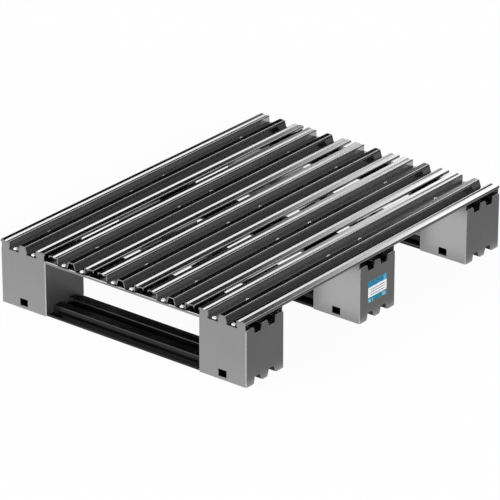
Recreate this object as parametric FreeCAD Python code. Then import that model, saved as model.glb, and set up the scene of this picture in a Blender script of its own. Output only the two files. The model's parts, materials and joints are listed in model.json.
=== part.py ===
import FreeCAD, Part
import math
import os

# Half-size pallet in folded stainless steel. Millimetres, +Z up, deck boards along Y.
# The origin is on the floor, below the middle of the pallet.

# Whole pallet
pallet_length = 800.0
pallet_width = 600.0
sheet = 2.0
seam = 0.1

# Deck boards, rolled to a W with a stiffening groove in each flange
board_width = 112.0
board_least_gap = 8.0
board_height = 16.5
board_bend_inside = 0.5
board_lip = 4.9
board_flange = 22.8
board_wall_run = 0.4
board_hump_base = 23.4
board_hump_top = 13.6
groove_centre = 14.8
groove_width = 9.0
groove_floor = 2.0
groove_depth = 1.8

# Cross rails under the deck and skid rails on the floor, one rolled section turned over
rail_height = 16.5
rail_bend_inside = 0.0
rail_lip = 5.6
rail_flange = 20.5
rail_wall_run = 3.0
rail_hump_base = 25.0
rail_hump_top = 16.0

# Blocks, each a folded shell closed by a rear plate
row_count = 3
block_depth = 110.0
fold_inside = 0.5
block_clear_height = 82.5
fold_relief = 1.0
ear_inset = 2.5
window_width = 19.4
window_height = 16.0
window_sill = 4.5

# Weld buttons that hold the boards to the rails
button_radius = 4.4
button_height = 1.8
button_inset = 3.0
button_sides = 8

# Printed label on the outer side of one block
label_length = 65.0
label_height = 49.0
label_sill = 33.0
label_start = 24.0
label_film = 0.2
label_corner = 2.0

# Levels, from the floor up
skid_top = rail_height
rail_bottom = skid_top + block_clear_height
rail_top = rail_bottom + rail_height
board_bottom = rail_top
board_top = board_bottom + board_height

# Widths and places that follow
block_width = board_width
board_count = int((pallet_width + board_least_gap) // (board_width + board_least_gap))
board_pitch = (pallet_width - board_width) / (board_count - 1)
row_pitch = (pallet_length - block_depth) / (row_count - 1)
rail_width = block_depth - 2 * (sheet + seam)
rail_start = sheet + seam
left_edge = -pallet_width / 2
front_edge = -pallet_length / 2
fold_outside = fold_inside + sheet
crease_angle = math.radians(45)
fold_top = rail_top - fold_relief
beyond = 10.0

X_AXIS = FreeCAD.Vector(1, 0, 0)
Y_AXIS = FreeCAD.Vector(0, 1, 0)
Z_AXIS = FreeCAD.Vector(0, 0, 1)


def rolled_corners(width, height, lip, flange, wall_run, hump_base, hump_top, groove=()):
    """Sharp corners of a W section's upper surface, left to right, with the flanges at zero."""
    floor = sheet - height
    middle = width / 2
    half = [(0, -lip), (0, 0)]
    half += list(groove)
    half += [(flange, 0), (flange + wall_run, floor)]
    half += [(middle - hump_base / 2, floor), (middle - hump_top / 2, 0)]
    return half + [(width - u, v) for u, v in reversed(half)]


def offset_corners(corners, offset):
    """The corners of the same path when it is moved sideways to its right-hand side."""
    moved = []
    last = len(corners) - 1
    for index, (u, v) in enumerate(corners):
        normals = []
        for start, end in ((index - 1, index), (index, index + 1)):
            if start >= 0 and end <= last:
                du = corners[end][0] - corners[start][0]
                dv = corners[end][1] - corners[start][1]
                run = math.hypot(du, dv)
                normals.append((dv / run, -du / run))
        before, after = normals[0], normals[-1]
        share = offset / (1 + before[0] * after[0] + before[1] * after[1])
        moved.append((u + share * (before[0] + after[0]), v + share * (before[1] + after[1])))
    return moved


def turns(corners):
    """Turn of the path at each inner corner, in radians; a right-hand turn is negative."""
    found = []
    for (u0, v0), (u1, v1), (u2, v2) in zip(corners, corners[1:], corners[2:]):
        turn = math.atan2(v2 - v1, u2 - u1) - math.atan2(v1 - v0, u1 - u0)
        found.append(math.remainder(turn, 2 * math.pi))
    return found


def bend_radii(corners, inside, offset):
    """Radius of each bend on the surface that lies the offset inside the path; creases stay sharp."""
    radii = [0]
    for turn in turns(corners):
        if abs(turn) < crease_angle:
            radii.append(0)
        elif turn < 0:
            radii.append(max(inside + sheet - offset, 0))
        else:
            radii.append(inside + offset)
    return radii + [0]


def plate_edge(corners, inside, offset):
    """Cut edge of a flat plate that fits under a bent sheet, chamfered where it enters a bend."""
    moved = offset_corners(corners, offset)
    radius = max(inside + sheet - offset, 0)
    edge = [moved[0]]
    for index, turn in enumerate(turns(corners), 1):
        corner = moved[index]
        if radius == 0 or turn > -crease_angle:
            edge.append(corner)
            continue
        reach = radius * math.tan(-turn / 2)
        for other in (moved[index - 1], moved[index + 1]):
            share = reach / math.dist(corner, other)
            edge.append(tuple(a + share * (b - a) for a, b in zip(corner, other)))
    edge.append(moved[-1])
    return edge


def rounded_face(corners, radii, place):
    """Flat face inside a closed outline whose corners are rounded where a radius is given."""
    points = [place(u, v) for u, v in corners]
    count = len(points)
    arcs = []
    cuts = []
    for index, corner in enumerate(points):
        back = (points[index - 1] - corner).normalize()
        ahead = (points[(index + 1) % count] - corner).normalize()
        if radii[index] == 0:
            cuts.append((corner, corner))
            arcs.append(None)
            continue
        half_angle = back.getAngle(ahead) / 2
        reach = radii[index] / math.tan(half_angle)
        start = corner + back * reach
        end = corner + ahead * reach
        inward = (back + ahead).normalize()
        crown = corner + inward * (radii[index] / math.sin(half_angle) - radii[index])
        cuts.append((start, end))
        arcs.append(Part.Arc(start, crown, end).toShape())
    outline = []
    for index in range(count):
        if arcs[index]:
            outline.append(arcs[index])
        outline.append(Part.LineSegment(cuts[index][1], cuts[(index + 1) % count][0]).toShape())
    return Part.Face(Part.Wire(outline))


def folded_face(corners, inside, place):
    """Cut end of a bent sheet whose outer surface follows the corners."""
    inner = offset_corners(corners, sheet)
    outline = corners + inner[::-1]
    radii = bend_radii(corners, inside, 0) + bend_radii(corners, inside, sheet)[::-1]
    return rounded_face(outline, radii, place)


def plain_face(corners, place):
    """Flat face inside a closed outline with sharp corners."""
    points = [place(u, v) for u, v in corners]
    return Part.Face(Part.makePolygon(points + points[:1]))


def box(x_span, y_span, z_span):
    """Block between two limits on each axis."""
    corner = FreeCAD.Vector(x_span[0], y_span[0], z_span[0])
    sides = [span[1] - span[0] for span in (x_span, y_span, z_span)]
    return Part.makeBox(*sides, corner)


def board_corners():
    """Upper surface of a deck board, with its two grooves."""
    low = groove_centre - groove_width / 2
    high = groove_centre + groove_width / 2
    inner_low = groove_centre - groove_floor / 2
    inner_high = groove_centre + groove_floor / 2
    groove = [(low, 0), (inner_low, -groove_depth), (inner_high, -groove_depth), (high, 0)]
    return rolled_corners(board_width, board_height, board_lip, board_flange, board_wall_run,
                          board_hump_base, board_hump_top, groove)


def rail_corners():
    """Upper surface of a cross rail."""
    return rolled_corners(rail_width, rail_height, rail_lip, rail_flange, rail_wall_run,
                          rail_hump_base, rail_hump_top)


def deck_board(index):
    """One full-length board with its flanges at the top of the pallet."""
    left = left_edge + index * board_pitch

    def place(u, v):
        return FreeCAD.Vector(left + u, front_edge, board_top + v)

    return folded_face(board_corners(), board_bend_inside, place).extrude(Y_AXIS * pallet_length)


def rail(row, flange_level, upward):
    """A rail across one row of blocks: flanges up for a cross rail, down for a skid.

    Its four corners are notched, so that they clear the folds of the blocks.
    """
    front = front_edge + row * row_pitch + rail_start
    left = left_edge + sheet + seam
    length = pallet_width - 2 * (sheet + seam)

    def place(u, v):
        return FreeCAD.Vector(left, front + u, flange_level + upward * v)

    section = folded_face(rail_corners(), rail_bend_inside, place).extrude(X_AXIS * length)
    z_span = (-beyond, board_top)
    notches = []
    for x_span in ((left, left + fold_inside), (left + length - fold_inside, left + length)):
        for y_span in ((front, front + sheet), (front + rail_width - sheet, front + rail_width)):
            notches.append(box(x_span, y_span, z_span))
    return section.cut(notches).Solids[0]


def under_board_space():
    """What the front and rear plates of a block leave free for the board that lies on them."""
    edge = plate_edge(board_corners(), board_bend_inside, sheet + seam)
    outline = edge + [(edge[-1][0], beyond), (edge[0][0], beyond)]

    def place(u, v):
        return FreeCAD.Vector(u, -beyond, board_top + v)

    return plain_face(outline, place).extrude(Y_AXIS * (block_depth + 2 * beyond))


def rail_space(passes, flange_level, upward, x_span):
    """What a side plate leaves free: all of the rail where it passes, or what lies beyond its end.

    The outer plates cover the rails' ends, so their edges follow the rails' outer surface.
    The inner plates stop short of the rails, which pass over and under them.
    """
    near, far = sheet - rail_start, rail_width + beyond
    if passes:
        edge = plate_edge(rail_corners(), rail_bend_inside, sheet + seam)[1:-1]
        low = -rail_lip - seam
        edge = [(near, low), (edge[0][0], low)] + edge + [(edge[-1][0], low), (far, low)]
    else:
        flanges = [(near, 0)] + rail_corners()[2:-2] + [(far, 0)]
        edge = plate_edge(flanges, rail_bend_inside, 0)
    outline = edge + [(far, beyond), (near, beyond)]

    def place(u, v):
        return FreeCAD.Vector(x_span[0], rail_start + u, flange_level + upward * v)

    return plain_face(outline, place).extrude(X_AXIS * (x_span[1] - x_span[0]))


def corner_reliefs():
    """What the corners leave free above the folds, where the board's lips hang down."""
    reliefs = []
    for x_span in ((-beyond, ear_inset), (block_width - ear_inset, block_width + beyond)):
        for y_span in ((-beyond, fold_outside), (block_depth - fold_outside, block_depth + beyond)):
            reliefs.append(box(x_span, y_span, (fold_top, board_top + beyond)))
    return reliefs


def window_space():
    """The service window low in the middle of the front and rear plates."""
    middle = block_width / 2
    x_span = (middle - window_width / 2, middle + window_width / 2)
    return box(x_span, (-beyond, block_depth + beyond), (window_sill, window_sill + window_height))


def block_shell():
    """Front plate and two side plates, folded from one sheet, for a block on the right."""
    plan = [(block_width, block_depth), (block_width, 0), (0, 0), (0, block_depth)]

    def place(u, v):
        return FreeCAD.Vector(u, v, 0)

    shell = folded_face(plan, fold_inside, place).extrude(Z_AXIS * board_top)
    inner_span = (-beyond, block_width / 2)
    outer_span = (block_width / 2, block_width + beyond)
    spaces = [
        under_board_space(),
        window_space(),
        rail_space(False, rail_top, 1, outer_span),
        rail_space(False, 0, -1, outer_span),
        rail_space(True, rail_top, 1, inner_span),
        rail_space(True, 0, -1, inner_span),
    ]
    return shell.cut(spaces + corner_reliefs()).Solids[0]


def rear_plate():
    """Plate that closes the back of a block, let in between the two side plates."""
    x_span = (sheet + seam, block_width - sheet - seam)
    plate = box(x_span, (block_depth - sheet, block_depth), (0, board_top))
    return plate.cut([under_board_space(), window_space()] + corner_reliefs()).Solids[0]


def set_in_place(shape, side, row):
    """A block piece moved to its corner or row; the left-hand ones are mirror images."""
    piece = shape.copy()
    if side == "left":
        middle = FreeCAD.Vector(block_width / 2, 0, 0)
        piece = piece.mirror(middle, FreeCAD.Vector(1, 0, 0))
    start = left_edge if side == "left" else -left_edge - block_width
    piece.translate(FreeCAD.Vector(start, front_edge + row * row_pitch, 0))
    return piece


def deck_welds():
    """Weld buttons on the valley floors, over both flanges of each cross rail."""
    floor = board_bottom + sheet
    valley = (board_flange + board_wall_run + (board_width - board_hump_base) / 2) / 2
    rim = []
    for corner in range(button_sides):
        angle = 2 * math.pi * corner / button_sides
        rim.append((button_radius * math.cos(angle), button_radius * math.sin(angle)))
    buttons = []
    for board in range(board_count):
        for across in (valley, board_width - valley):
            x = left_edge + board * board_pitch + across
            for row in range(row_count):
                for along in (button_inset, rail_width - button_inset):
                    y = front_edge + row * row_pitch + rail_start + along

                    def place(u, v):
                        return FreeCAD.Vector(x + u, y + v, floor)

                    buttons.append(plain_face(rim, place).extrude(Z_AXIS * button_height))
    return Part.makeCompound(buttons)


def label():
    """Printed film on the outer side of the middle block on the right."""
    start = front_edge + row_pitch + label_start
    corner = FreeCAD.Vector(pallet_width / 2, start, label_sill)
    film = Part.makeBox(label_film, label_length, label_height, corner)
    upright = [edge for edge in film.Edges if abs(edge.tangentAt(edge.FirstParameter).x) > 0.5]
    return film.makeFillet(label_corner, upright)


def save(name, shape):
    """Write one piece under its own name."""
    shape.exportStep(os.path.join("parts", name + ".step"))


os.makedirs("parts", exist_ok=True)

for board_index in range(board_count):
    save("deck_board_" + str(board_index + 1), deck_board(board_index))

row_names = ("front", "middle", "back")
shell_shape = block_shell()
plate_shape = rear_plate()
for row_index, row_name in enumerate(row_names):
    save("cross_rail_" + row_name, rail(row_index, rail_top, 1))
    save("skid_rail_" + row_name, rail(row_index, 0, -1))
    for side_name in ("left", "right"):
        ending = side_name + "_" + row_name
        save("block_shell_" + ending, set_in_place(shell_shape, side_name, row_index))
        save("block_rear_plate_" + ending, set_in_place(plate_shape, side_name, row_index))

save("deck_weld_buttons", deck_welds())
save("block_label", label())
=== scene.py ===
import json
import math
import bpy
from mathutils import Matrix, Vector

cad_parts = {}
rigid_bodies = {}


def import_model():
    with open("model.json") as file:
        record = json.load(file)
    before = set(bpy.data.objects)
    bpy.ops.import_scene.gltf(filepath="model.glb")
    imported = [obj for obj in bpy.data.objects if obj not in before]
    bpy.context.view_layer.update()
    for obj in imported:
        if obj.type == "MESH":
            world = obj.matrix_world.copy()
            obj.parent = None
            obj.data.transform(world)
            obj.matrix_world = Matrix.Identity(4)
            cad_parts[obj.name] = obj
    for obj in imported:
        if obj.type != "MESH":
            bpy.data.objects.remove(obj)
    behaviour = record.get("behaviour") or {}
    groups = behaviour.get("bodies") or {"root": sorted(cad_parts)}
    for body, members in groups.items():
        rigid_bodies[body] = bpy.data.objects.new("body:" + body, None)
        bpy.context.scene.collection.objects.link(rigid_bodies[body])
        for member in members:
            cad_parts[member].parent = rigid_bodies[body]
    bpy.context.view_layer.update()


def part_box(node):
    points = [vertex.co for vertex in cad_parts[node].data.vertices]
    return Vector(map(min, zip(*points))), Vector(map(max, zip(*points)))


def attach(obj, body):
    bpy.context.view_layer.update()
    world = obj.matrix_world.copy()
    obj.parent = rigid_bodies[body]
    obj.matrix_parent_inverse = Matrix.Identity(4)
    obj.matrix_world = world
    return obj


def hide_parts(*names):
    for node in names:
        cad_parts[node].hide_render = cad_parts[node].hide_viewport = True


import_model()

nodes = bpy.data.objects

# Camera
# A long lens on a tall stand, seven metres off the pallet's front right corner. From so far off, the
# boards and the blocks' sides stay nearly parallel, and one white floor fills the view.
camera_data = bpy.data.cameras.new("camera")
camera_data.lens = 275.85
camera_data.sensor_width = 36.0
camera = bpy.data.objects.new("camera", camera_data)
bpy.context.scene.collection.objects.link(camera)
camera.location = (4.22207, -5.31354, 3.15822)
camera_azimuth = math.radians(38.534)
camera_elevation = math.radians(24.605)
camera.rotation_euler = (math.pi / 2 - camera_elevation, 0, camera_azimuth)
bpy.context.scene.camera = camera
bpy.context.scene.view_settings.view_transform = "Standard"


# Studio
# A dark room with round soft boxes, a pale horizon, two broad lamps and a white floor. Polished steel
# shows the room, so the room's dark and bright parts give the sheet its black and white bands.
def linear(hex_colour):
    """Linear colour with full alpha from an sRGB hex value."""
    values = [int(hex_colour[i:i + 2], 16) / 255 for i in (1, 3, 5)]
    return [v / 12.92 if v <= 0.04045 else ((v + 0.055) / 1.055) ** 2.4 for v in values] + [1.0]


def add_node(tree, kind, settings=None, **links):
    """Add a node, set its properties, and link or set its inputs.

    An input is given by its name, with underscores for spaces, or by its number, as in_0.
    """
    node = tree.nodes.new(kind)
    for name, value in (settings or {}).items():
        setattr(node, name, value)
    for name, value in links.items():
        if name[-1].isdigit() and name[:-1].endswith("_"):
            socket = node.inputs[int(name.rsplit("_", 1)[1])]
        else:
            socket = node.inputs[name.replace("_", " ")]
        if isinstance(value, bpy.types.NodeSocket):
            tree.links.new(value, socket)
        else:
            socket.default_value = value
    return node


def sky_direction(azimuth, elevation):
    """Unit vector towards a place in the room; azimuth 0 is +Y and 90 is +X."""
    a, e = math.radians(azimuth), math.radians(elevation)
    return (math.sin(a) * math.cos(e), math.cos(a) * math.cos(e), math.sin(e))


world = bpy.data.worlds.new("studio")
bpy.context.scene.world = world
world.use_nodes = True
room = world.node_tree
room.nodes.clear()
sky = add_node(room, "ShaderNodeTexCoord").outputs["Generated"]

# Azimuth and elevation of each soft box, the angles from its middle where it is full and where it ends,
# and its strength.
soft_boxes = [
    (-20, 20, 13.5, 17.9, 3.0),  # the large one, low beyond the back end
    (-0.5, 48, 4, 7, 2.3),  # small, high beyond the back end
    (-15, 43, 5, 11, 1.0),  # beside it, weaker and softer
    (36, 28, 8, 18, 0.7),  # beyond the back right corner
    (-42, 38, 3, 10, 1.4),  # beyond the back left corner
    (215, 35, 25, 70, 0.7),  # very wide, before the front left corner
    (100, 20, 10, 24, 0.7),  # low on the right
    (0, 88, 14, 30, 0.5),  # overhead
]
room_dark = 0.006
room_light = room_dark
for azimuth, elevation, inner, outer, strength in soft_boxes:
    toward = add_node(room, "ShaderNodeVectorMath", {"operation": "DOT_PRODUCT"}, in_0=sky,
                      in_1=sky_direction(azimuth, elevation))
    lit = add_node(room, "ShaderNodeMapRange", {"interpolation_type": "SMOOTHSTEP"},
                   Value=toward.outputs["Value"], From_Min=math.cos(math.radians(outer)),
                   From_Max=math.cos(math.radians(inner)), To_Min=0.0, To_Max=strength)
    room_light = add_node(room, "ShaderNodeMath", {"operation": "ADD"}, in_0=room_light,
                          in_1=lit.outputs[0]).outputs[0]

horizon_level = 0.35
horizon_top = 0.06
height = add_node(room, "ShaderNodeSeparateXYZ", Vector=sky).outputs["Z"]
above = add_node(room, "ShaderNodeMapRange", {"interpolation_type": "SMOOTHSTEP"}, Value=height,
                 From_Min=0.0, From_Max=horizon_top, To_Min=0.0, To_Max=1.0).outputs[0]
level = add_node(room, "ShaderNodeMix", {"data_type": "FLOAT"}, in_0=above, in_2=horizon_level,
                 in_3=room_light).outputs[0]
backdrop = add_node(room, "ShaderNodeBackground", Color=linear("#FFFFFF"), Strength=level)
add_node(room, "ShaderNodeOutputWorld", Surface=backdrop.outputs[0])


def soft_sun(name, azimuth, elevation, energy, spread):
    """Broad lamp far off in the room; the spread is how wide it looks from the pallet, in degrees."""
    data = bpy.data.lights.new(name, "SUN")
    data.energy = energy
    data.angle = math.radians(spread)
    lamp = bpy.data.objects.new(name, data)
    bpy.context.scene.collection.objects.link(lamp)
    lamp.rotation_euler = Vector(sky_direction(azimuth, elevation)).to_track_quat("Z", "Y").to_euler()


soft_sun("key_light", 212, 34, 1.4, 40)
soft_sun("rim_light", 129, 18, 2.2, 20)


def deselect_all():
    """Leave nothing selected, so that the next operator acts on its own piece alone."""
    for item in bpy.context.selected_objects:
        item.select_set(False)


def empty_material(name):
    """New material without nodes, and the tree that takes them."""
    material = bpy.data.materials.new(name)
    material.use_nodes = True
    material.node_tree.nodes.clear()
    return material, material.node_tree


# Matt white floor paint: an even white ground that keeps the pallet's soft shadow. The steel mirrors it
# paler at the first bounce, and finds the floor dark beyond the end of the white.
floor_size = 80
white_end, dark_start = 1.3, 1.9
seen_lift = 0.95
mirrored_lift = 0.6
first_bounce = 1.5
deselect_all()
bpy.ops.mesh.primitive_plane_add(size=floor_size, location=(0, 0, 0))
floor = bpy.context.active_object
floor.name = "studio_floor"
floor_paint, tree = empty_material("white_floor_paint")
paint = add_node(tree, "ShaderNodeBsdfDiffuse", Color=linear("#F4F4F4"))
glow = add_node(tree, "ShaderNodeEmission", Color=linear("#FFFFFF"), Strength=1.0)
path = add_node(tree, "ShaderNodeLightPath")
mirrored = add_node(tree, "ShaderNodeMath", {"operation": "MAXIMUM"}, in_0=path.outputs["Is Glossy Ray"],
                    in_1=path.outputs["Is Transmission Ray"]).outputs[0]
first = add_node(tree, "ShaderNodeMath", {"operation": "LESS_THAN"}, in_0=path.outputs["Ray Depth"],
                 in_1=first_bounce).outputs[0]
mirrored = add_node(tree, "ShaderNodeMath", {"operation": "MULTIPLY"}, in_0=mirrored,
                    in_1=first).outputs[0]
lift = add_node(tree, "ShaderNodeMath", {"operation": "MULTIPLY"}, in_0=mirrored,
                in_1=mirrored_lift).outputs[0]
lift = add_node(tree, "ShaderNodeMath", {"operation": "MULTIPLY_ADD"}, in_0=path.outputs["Is Camera Ray"],
                in_1=seen_lift, in_2=lift).outputs[0]
white_floor = add_node(tree, "ShaderNodeMixShader", in_0=lift, in_1=paint.outputs[0], in_2=glow.outputs[0])
here = add_node(tree, "ShaderNodeTexCoord").outputs["Object"]
reach = add_node(tree, "ShaderNodeVectorMath", {"operation": "LENGTH"}, in_0=here).outputs["Value"]
beyond = add_node(tree, "ShaderNodeMapRange", Value=reach, From_Min=white_end,
                  From_Max=dark_start).outputs[0]
beyond = add_node(tree, "ShaderNodeMath", {"operation": "MULTIPLY"}, in_0=beyond,
                  in_1=path.outputs["Is Glossy Ray"]).outputs[0]
dark_floor = add_node(tree, "ShaderNodeEmission", Color=linear("#1C1C1C"), Strength=1.0)
whole_floor = add_node(tree, "ShaderNodeMixShader", in_0=beyond, in_1=white_floor.outputs[0],
                       in_2=dark_floor.outputs[0])
add_node(tree, "ShaderNodeOutputMaterial", Surface=whole_floor.outputs[0])
floor.data.materials.append(floor_paint)


# Floor cards
# Photographer's cards on the floor, seen by the steel alone: a grey one beside the pallet and a darker one
# under it keep the blocks' sides dark, and a black one on the far left draws the dark lines of the bends.
def card_paper(name, hex_colour, brightness):
    """Plain card that gives an even light, so that the steel shows it in one tone all over."""
    paper, tree = empty_material(name)
    face = add_node(tree, "ShaderNodeEmission", Color=linear(hex_colour), Strength=brightness)
    add_node(tree, "ShaderNodeOutputMaterial", Surface=face.outputs[0])
    return paper


def studio_card(name, low, high, paper):
    """Card between two opposite corners, level or upright along X, that only mirrored light sees."""
    deselect_all()
    bpy.ops.mesh.primitive_plane_add(size=1, location=(0, 0, 0))
    card = bpy.context.active_object
    card.name = name
    for vertex in card.data.vertices:
        side = low if vertex.co.x < 0 else high
        end = low if vertex.co.y < 0 else high
        vertex.co = (side[0], end[1], end[2])
    card.data.materials.append(paper)
    card.visible_camera = False
    card.visible_diffuse = False
    card.visible_shadow = False
    return card


floor_cards = [
    ("grey_card", (0.31, -0.42), (1.6, 2.0), "#A1A1A1"),
    ("low_card", (-0.28, -0.30), (0.02, 0.30), "#767676"),
    ("black_card", (-2.2, -0.3), (-0.42, 2.6), "#101010"),
]
card_level = 0.001
for name, front_left, back_right, hex_colour in floor_cards:
    card = studio_card(name, (*front_left, card_level), (*back_right, card_level),
                       card_paper(name, hex_colour, 1.0))


# Reflector cards
# Small upright cards before the middle and back blocks, under the deck, again seen by the steel alone:
# they give those blocks' fronts the light that the deck keeps off them.
card_gap = 0.03
reflector_brightness = 1.4
reflector_paper = card_paper("reflector_paper", "#F0F0F0", reflector_brightness)
for row in ("middle", "back"):
    low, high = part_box("block_shell_right_" + row)
    before = low[1] - card_gap
    reflector = studio_card("reflector_card_" + row, (low[0], before, low[2]),
                            (high[0], before, high[2] - card_gap), reflector_paper)


# Deck boards
# Five boards of cold-rolled stainless sheet, roll-formed to a W with a groove in each flange and cut off
# at both ends. They lie across the three cross rails and are plug-welded to them from above.
mm_in_metre = 1000


def stainless(name, tint, dark_tint, rough_low, rough_high, grain, relief_mm):
    """Stainless steel; the grain gives the spacing of its marks in mm on each axis.

    Real marks are hundredths of a millimetre apart, too fine to show, so they are drawn coarser. Soft
    clouds of some 70 mm make the sheet a little uneven. Gives the material and its shader.
    """
    clouds_per_metre = 14.0
    faint, strong = 0.7, 1.3
    material, tree = empty_material(name)
    place = add_node(tree, "ShaderNodeTexCoord").outputs["Object"]
    drawn_out = add_node(tree, "ShaderNodeMapping", Vector=place,
                         Scale=tuple(mm_in_metre / spacing for spacing in grain)).outputs[0]
    marks = add_node(tree, "ShaderNodeTexNoise", Vector=drawn_out, Scale=1.0, Detail=3.0,
                     Roughness=0.6).outputs["Fac"]
    clouds = add_node(tree, "ShaderNodeTexNoise", Vector=place, Scale=clouds_per_metre,
                      Detail=2.0).outputs["Fac"]
    both = add_node(tree, "ShaderNodeMath", {"operation": "ADD"}, in_0=marks, in_1=clouds).outputs[0]
    paleness = add_node(tree, "ShaderNodeMapRange", Value=both, From_Min=faint,
                        From_Max=strong).outputs[0]
    tone = add_node(tree, "ShaderNodeMix", {"data_type": "RGBA"}, Factor=paleness,
                    in_6=linear(dark_tint), in_7=linear(tint)).outputs[2]
    rough = add_node(tree, "ShaderNodeMapRange", Value=both, From_Min=faint, From_Max=strong,
                     To_Min=rough_low, To_Max=rough_high).outputs[0]
    relief = add_node(tree, "ShaderNodeBump", Height=marks, Strength=0.25,
                      Distance=relief_mm / mm_in_metre).outputs[0]
    steel = add_node(tree, "ShaderNodeBsdfPrincipled", Base_Color=tone, Metallic=1.0,
                     Roughness=rough, Normal=relief)
    add_node(tree, "ShaderNodeOutputMaterial", Surface=steel.outputs[0])
    return material, steel


# Bright rolled finish: it mirrors the room softly, with faint lines along the rolling direction.
deck_steel, deck_shader = stainless("bright_rolled_stainless", "#A9A9A9", "#A2A2A2", 0.08, 0.13,
                                    (1.6, 300, 1.6), 0.02)
tree = deck_steel.node_tree
place = add_node(tree, "ShaderNodeTexCoord").outputs["Object"]
spot = add_node(tree, "ShaderNodeSeparateXYZ", Vector=place)
normal = add_node(tree, "ShaderNodeNewGeometry").outputs["Normal"]
facing = add_node(tree, "ShaderNodeSeparateXYZ", Vector=normal)
board_count = 5
board_pitch = 0.122
across = add_node(tree, "ShaderNodeMath", {"operation": "SUBTRACT"}, in_0=spot.outputs["X"],
                  in_1=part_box("deck_board_1")[0][0]).outputs[0]
across = add_node(tree, "ShaderNodeMath", {"operation": "MODULO"}, in_0=across,
                  in_1=board_pitch).outputs[0]

# The humps' sheet isn't quite level: it leans by four degrees, and so stays black in the mirrored room.
hump_middle, hump_half = 0.056, 0.0080
hump_lean = (-0.07, 0, 0)
rolled_relief = deck_shader.inputs["Normal"].links[0].from_socket
on_hump = add_node(tree, "ShaderNodeMath", {"operation": "COMPARE"}, in_0=across, in_1=hump_middle,
                   in_2=hump_half).outputs[0]
lean = add_node(tree, "ShaderNodeVectorMath", {"operation": "SCALE"}, in_0=hump_lean,
                Scale=on_hump).outputs[0]
leaning = add_node(tree, "ShaderNodeVectorMath", {"operation": "ADD"}, in_0=rolled_relief,
                   in_1=lean).outputs[0]
leaning = add_node(tree, "ShaderNodeVectorMath", {"operation": "NORMALIZE"}, in_0=leaning).outputs[0]
tree.links.new(leaning, deck_shader.inputs["Normal"])

# The cut ends are painted darker, as painted shade, most of all down in the valleys.
end_start, end_full = 0.6, 0.8
valley_top, groove_level = 0.1180, 0.1200
high_end_share = 0.3
endways = add_node(tree, "ShaderNodeMath", {"operation": "ABSOLUTE"}, in_0=facing.outputs["Y"]).outputs[0]
end_shade = add_node(tree, "ShaderNodeMapRange", Value=endways, From_Min=end_start,
                   From_Max=end_full).outputs[0]
end_share = add_node(tree, "ShaderNodeMapRange", Value=spot.outputs["Z"], From_Min=valley_top,
                     From_Max=groove_level, To_Min=1.0, To_Max=high_end_share).outputs[0]
end_shade = add_node(tree, "ShaderNodeMath", {"operation": "MULTIPLY"}, in_0=end_shade,
                   in_1=end_share).outputs[0]

# Where the bends face half sideways, the sheet is painted darker: painted shade on the bends.
bend_facing, bend_spread = 0.70, 0.19
bend_share = 0.6
sideways = add_node(tree, "ShaderNodeMath", {"operation": "ABSOLUTE"}, in_0=facing.outputs["X"]).outputs[0]
bend_shade = add_node(tree, "ShaderNodeMath", {"operation": "COMPARE"}, in_0=sideways, in_1=bend_facing,
                in_2=bend_spread).outputs[0]
bend_shade = add_node(tree, "ShaderNodeMath", {"operation": "MULTIPLY"}, in_0=bend_shade, in_1=bend_share).outputs[0]

# Painted shade lies at the foot of the left wall of each valley, in the crease, and thins out up the wall.
shade_low, shade_high = 0.1180, 0.1208
foot_shade_share = 0.6
wall_feet = (0.0265, 0.0665)
foot_half = 0.0035
foot_shade = add_node(tree, "ShaderNodeMapRange", Value=spot.outputs["Z"], From_Min=shade_low,
                  From_Max=shade_high, To_Min=foot_shade_share, To_Max=0.0).outputs[0]
feet = [add_node(tree, "ShaderNodeMath", {"operation": "COMPARE"}, in_0=across, in_1=foot,
                 in_2=foot_half).outputs[0] for foot in wall_feet]
feet = add_node(tree, "ShaderNodeMath", {"operation": "ADD"}, in_0=feet[0], in_1=feet[1]).outputs[0]
foot_shade = add_node(tree, "ShaderNodeMath", {"operation": "MULTIPLY"}, in_0=foot_shade, in_1=feet).outputs[0]

# The three masks together darken the rolled tone towards dark grey: painted shade.
shade_grey = linear("#2A2A2A")
painted_shade = add_node(tree, "ShaderNodeMath", {"operation": "MAXIMUM"}, in_0=end_shade, in_1=foot_shade).outputs[0]
painted_shade = add_node(tree, "ShaderNodeMath", {"operation": "MAXIMUM"}, in_0=painted_shade, in_1=bend_shade).outputs[0]
rolled_tone = deck_shader.inputs["Base Color"].links[0].from_socket
tone = add_node(tree, "ShaderNodeMix", {"data_type": "RGBA"}, Factor=painted_shade, in_6=rolled_tone,
                in_7=shade_grey).outputs[2]
tree.links.new(tone, deck_shader.inputs["Base Color"])
for board in range(1, board_count + 1):
    nodes["deck_board_%d" % board].data.materials[0] = deck_steel


# Weld beads
# Small domes of weld metal on the valley floors, two for each crossing of a valley and a cross rail:
# plug welds made from above and left as they set, a little uneven and brighter than the sheet.
bead_radius = 0.0048
bead_height = 0.0036
row_count = 3
row_pitch = 0.345
valleys = (0.0330, 0.0782)
rail_edges = (0.0056, 0.1044)
size_swing, size_step = 0.06, 5
ripple_depth, ripple_waves, ripple_step = 0.05, 3, 0.7
first_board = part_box("deck_board_1")[0]
valley_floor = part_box("deck_weld_buttons")[0][2]
deselect_all()
bpy.ops.mesh.primitive_uv_sphere_add(segments=12, ring_count=8, radius=1.0, location=(0, 0, 0))
bead = bpy.context.active_object
bpy.ops.object.mode_set(mode="EDIT")
bpy.ops.mesh.select_all(action="SELECT")
bpy.ops.mesh.bisect(plane_co=(0, 0, 0), plane_no=(0, 0, 1), use_fill=True, clear_inner=True)
bpy.ops.object.mode_set(mode="OBJECT")
crossings = [(board, valley, row, edge) for board in range(board_count) for valley in valleys
             for row in range(row_count) for edge in rail_edges]
beads = []
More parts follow.
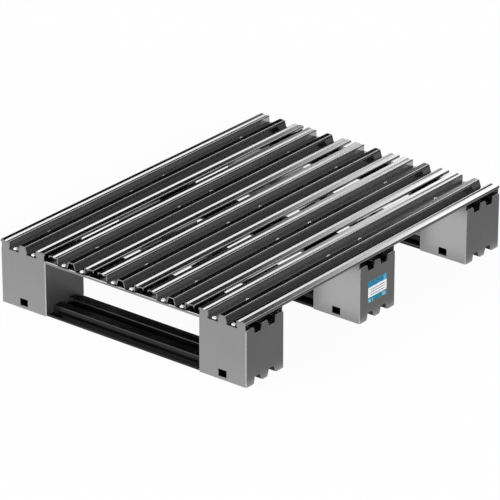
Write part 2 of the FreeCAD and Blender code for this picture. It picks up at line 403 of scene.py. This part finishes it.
for count, (board, valley, row, edge) in enumerate(crossings):
    copy = bpy.data.objects.new("bead_%d" % count, bead.data.copy())
    bpy.context.scene.collection.objects.link(copy)
    uneven = 1 + size_swing * math.sin(size_step * count)
    turn = count * ripple_step
    centre = Vector((first_board[0] + board * board_pitch + valley,
                     first_board[1] + row * row_pitch + edge, valley_floor))
    for vertex in copy.data.vertices:
        x, y, z = vertex.co
        ripple = 1 + ripple_depth * math.sin(ripple_waves * math.atan2(y, x) + turn) * (1 - z)
        vertex.co = centre + Vector((x * bead_radius * uneven * ripple,
                                     y * bead_radius * ripple / uneven, z * bead_height))
    beads.append(copy)
bpy.data.objects.remove(bead)
for copy in beads:
    copy.select_set(True)
bpy.context.view_layer.objects.active = beads[0]
bpy.ops.object.join()
weld_beads = bpy.context.active_object
weld_beads.name = "weld_beads"
bpy.ops.object.mode_set(mode="EDIT")
bpy.ops.mesh.select_all(action="SELECT")
bpy.ops.mesh.normals_make_consistent(inside=False)
bpy.ops.object.mode_set(mode="OBJECT")
bpy.ops.object.shade_smooth_by_angle(angle=math.radians(60))

# Set weld metal: paler than the sheet and half covered by heat scale, so it shows as soft light dots.
weld_metal, weld_shader = stainless("set_weld_metal", "#EAEAEA", "#D8D8D8", 0.38, 0.50, (2, 2, 2), 0.05)
weld_shader.inputs["Metallic"].default_value = 0.5
weld_beads.data.materials.append(weld_metal)
weld_beads.visible_glossy = False
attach(weld_beads, "root")
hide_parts("deck_weld_buttons")


# Rails
# Three cross rails under the deck and three skid rails on the floor, one rolled W section in stainless
# sheet. The cross rails lie in the notches of the blocks' plates, and the skids carry the blocks.
along_rails = (300, 1.6, 1.6)

# Mill finish: grey and half dull, with broad soft bands in place of the boards' clear ones.
rail_steel = stainless("mill_finish_stainless", "#969696", "#8E8E8E", 0.20, 0.28, along_rails, 0.02)[0]

# Chemically blackened: near black, with a thin pale gleam along the lips.
skid_steel = stainless("blackened_stainless", "#3A3A3A", "#343434", 0.16, 0.24, along_rails, 0.02)[0]
rows = ("front", "middle", "back")
for row in rows:
    nodes["cross_rail_" + row].data.materials[0] = rail_steel
    nodes["skid_rail_" + row].data.materials[0] = skid_steel


# Blocks
# Six hollow blocks, each of a folded shell and a rear plate of stainless sheet. Their upper edges are cut
# to the sections of the boards and the cross rails, and their feet to that of the skids.
block_steel, block_shader = stainless("satin_stainless", "#A0A0A0", "#9A9A9A", 0.40, 0.48,
                                      (1.2, 1.2, 160), 0.015)
tree = block_steel.node_tree
normal = add_node(tree, "ShaderNodeNewGeometry").outputs["Normal"]
facing = add_node(tree, "ShaderNodeSeparateXYZ", Vector=normal)

# Satin finish: a fine upright grain spreads the light, so each plate shows one even tone. The upward-facing
# cut edges, and the folds a little, are made rough and painted pale: a painted highlight.
edge_start, edge_full = 0.7, 0.95
fold_start, fold_full = 0.1, 0.4
fold_share = 0.3
highlight_grey = linear("#FAFAFA")
edge_roughness = 0.65
cut_edge = add_node(tree, "ShaderNodeMapRange", Value=facing.outputs["Z"], From_Min=edge_start,
                    From_Max=edge_full).outputs[0]
fold = add_node(tree, "ShaderNodeMath", {"operation": "MULTIPLY"}, in_0=facing.outputs["X"],
                in_1=facing.outputs["Y"]).outputs[0]
fold = add_node(tree, "ShaderNodeMath", {"operation": "ABSOLUTE"}, in_0=fold).outputs[0]
fold = add_node(tree, "ShaderNodeMapRange", Value=fold, From_Min=fold_start, From_Max=fold_full,
                To_Max=fold_share).outputs[0]
painted_highlight = add_node(tree, "ShaderNodeMath", {"operation": "MAXIMUM"}, in_0=cut_edge, in_1=fold).outputs[0]
satin_tone = block_shader.inputs["Base Color"].links[0].from_socket
# Upward cut edges and folds are lightened towards near white: painted highlight.
tone = add_node(tree, "ShaderNodeMix", {"data_type": "RGBA"}, Factor=painted_highlight, in_6=satin_tone,
                in_7=highlight_grey).outputs[2]
tree.links.new(tone, block_shader.inputs["Base Color"])
satin_gloss = block_shader.inputs["Roughness"].links[0].from_socket
gloss = add_node(tree, "ShaderNodeMix", {"data_type": "FLOAT"}, in_0=painted_highlight, in_2=satin_gloss,
                 in_3=edge_roughness).outputs[0]
tree.links.new(gloss, block_shader.inputs["Roughness"])
for row in rows:
    for side in ("left", "right"):
        nodes["block_shell_%s_%s" % (side, row)].data.materials[0] = block_steel
        nodes["block_rear_plate_%s_%s" % (side, row)].data.materials[0] = block_steel


# Label
# Printed paper label under clear film, stuck to the outer side of the middle block on the right. It is a
# generic one of bands, fields and ruled lines, and its film stands out a little beyond the print.
label_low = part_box("block_label")[0]
label_print, tree = empty_material("printed_film")
place = add_node(tree, "ShaderNodeTexCoord").outputs["Object"]
spot = add_node(tree, "ShaderNodeSeparateXYZ", Vector=place)

# Left, right, low and high ends of each printed field, in mm from the label's lower left corner.
printed = [
    (0, 65, 33, 49, "#057C9E"),
    (0, 65, 33, 36, "#2C8DBA"),
    (50, 59, 33, 45, "#4FA5CB"),
    (0, 65, 0, 12, "#087D99"),
    (4, 10, 2, 9, "#9CC9DA"),
    (14, 18, 2, 9, "#6BB0CC"),
    (46, 58, 2, 9, "#7DBAD2"),
    (10, 54, 26.5, 28.5, "#8F8B90"),
    (10, 54, 21, 23, "#8A8F8C"),
    (10, 54, 15.5, 17.5, "#8F8B90"),
]
print_left, print_right, print_low, print_high = 2, 60.2, 2, 45.5


def inside_field(left, right, low, high):
    """Share of a printed field at each spot of the label: one inside its four ends and zero outside."""
    across = add_node(tree, "ShaderNodeMath", {"operation": "COMPARE"}, in_0=spot.outputs["Y"],
                      in_1=label_low[1] + (left + right) / 2 / mm_in_metre,
                      in_2=(right - left) / 2 / mm_in_metre)
    upright = add_node(tree, "ShaderNodeMath", {"operation": "COMPARE"}, in_0=spot.outputs["Z"],
                       in_1=label_low[2] + (low + high) / 2 / mm_in_metre,
                       in_2=(high - low) / 2 / mm_in_metre)
    return add_node(tree, "ShaderNodeMath", {"operation": "MULTIPLY"}, in_0=across.outputs[0],
                    in_1=upright.outputs[0]).outputs[0]


ink = linear("#F2F4F6")
for left, right, low, high, hex_colour in printed:
    ink = add_node(tree, "ShaderNodeMix", {"data_type": "RGBA"}, Factor=inside_field(left, right, low, high),
                   in_6=ink, in_7=linear(hex_colour)).outputs[2]

# Paper under film: flat clear colours with a slight uneven sheen, from fibres that are drawn a millimetre
# wide, as real ones wouldn't show. The bare film shows the steel below it.
fibres_per_metre = 900.0
sheen_low, sheen_high = 0.35, 0.5
fibres = add_node(tree, "ShaderNodeTexNoise", Vector=place, Scale=fibres_per_metre, Detail=2.0)
gloss = add_node(tree, "ShaderNodeMapRange", Value=fibres.outputs["Fac"], To_Min=sheen_low,
                 To_Max=sheen_high).outputs[0]
paper = add_node(tree, "ShaderNodeBsdfPrincipled", Base_Color=ink, Roughness=gloss)
bare_film = add_node(tree, "ShaderNodeBsdfPrincipled", Base_Color=linear("#A6A6A6"), Metallic=1.0,
                     Roughness=0.44)
sticker = add_node(tree, "ShaderNodeMixShader",
                   in_0=inside_field(print_left, print_right, print_low, print_high),
                   in_1=bare_film.outputs[0], in_2=paper.outputs[0])
add_node(tree, "ShaderNodeOutputMaterial", Surface=sticker.outputs[0])
nodes["block_label"].data.materials[0] = label_print
